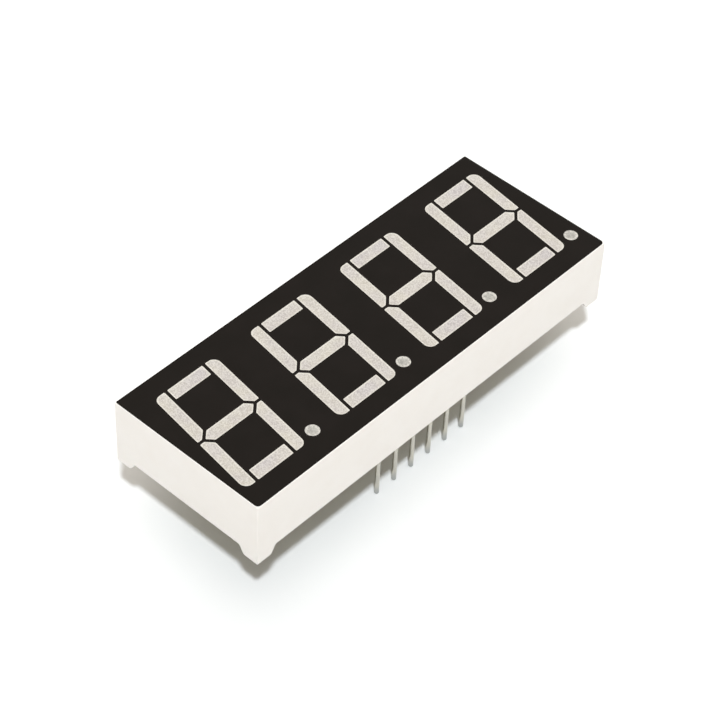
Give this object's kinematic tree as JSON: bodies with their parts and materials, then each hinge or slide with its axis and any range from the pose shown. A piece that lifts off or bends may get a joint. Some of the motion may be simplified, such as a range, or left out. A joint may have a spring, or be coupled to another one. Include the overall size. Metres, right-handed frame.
{
  "type": "seven segment display module",
  "caption": "Flat numeric LED display in a white reflector housing with a black face, slanted segment digits, decimal points and two rows of round pins.",
  "frame": {"origin": "centre of the pin pattern on the seating plane, the undersides of the corner feet", "axes": "+X along the digits in reading order, +Y towards their tops, +Z out of the face"},
  "size_m": [0.0502, 0.019, 0.0145],
  "materials": {
    "white_plastic": "satin",
    "black_coat": "matte",
    "segment_resin": "satin",
    "point_resin": "satin",
    "board_laminate": "matte",
    "copper": "satin",
    "solder": "gloss",
    "tinned_wire": "satin",
    "chip": "matte",
    "potting_resin": "gloss"
  },
  "bodies": {
    "root": {"housing": "white_plastic", "black_face": "black_coat", "circuit_board": "board_laminate", "copper_pads": "copper", "solder_joints": "solder", "potting": "potting_resin", "pin_1": "tinned_wire", "pin_2": "tinned_wire", "pin_3": "tinned_wire", "pin_4": "tinned_wire", "pin_5": "tinned_wire", "pin_6": "tinned_wire", "pin_7": "tinned_wire", "pin_8": "tinned_wire", "pin_9": "tinned_wire", "pin_10": "tinned_wire", "pin_11": "tinned_wire", "pin_12": "tinned_wire", "chips_1": "chip", "chips_2": "chip", "chips_3": "chip", "chips_4": "chip", "segment_1a": "segment_resin", "segment_1b": "segment_resin", "segment_1c": "segment_resin", "segment_1d": "segment_resin", "segment_1e": "segment_resin", "segment_1f": "segment_resin", "segment_1g": "segment_resin", "point_1": "point_resin", "segment_2a": "segment_resin", "segment_2b": "segment_resin", "segment_2c": "segment_resin", "segment_2d": "segment_resin", "segment_2e": "segment_resin", "segment_2f": "segment_resin", "segment_2g": "segment_resin", "point_2": "point_resin", "segment_3a": "segment_resin", "segment_3b": "segment_resin", "segment_3c": "segment_resin", "segment_3d": "segment_resin", "segment_3e": "segment_resin", "segment_3f": "segment_resin", "segment_3g": "segment_resin", "point_3": "point_resin", "segment_4a": "segment_resin", "segment_4b": "segment_resin", "segment_4c": "segment_resin", "segment_4d": "segment_resin", "segment_4e": "segment_resin", "segment_4f": "segment_resin", "segment_4g": "segment_resin", "point_4": "point_resin"}
  },
  "joints": []
}
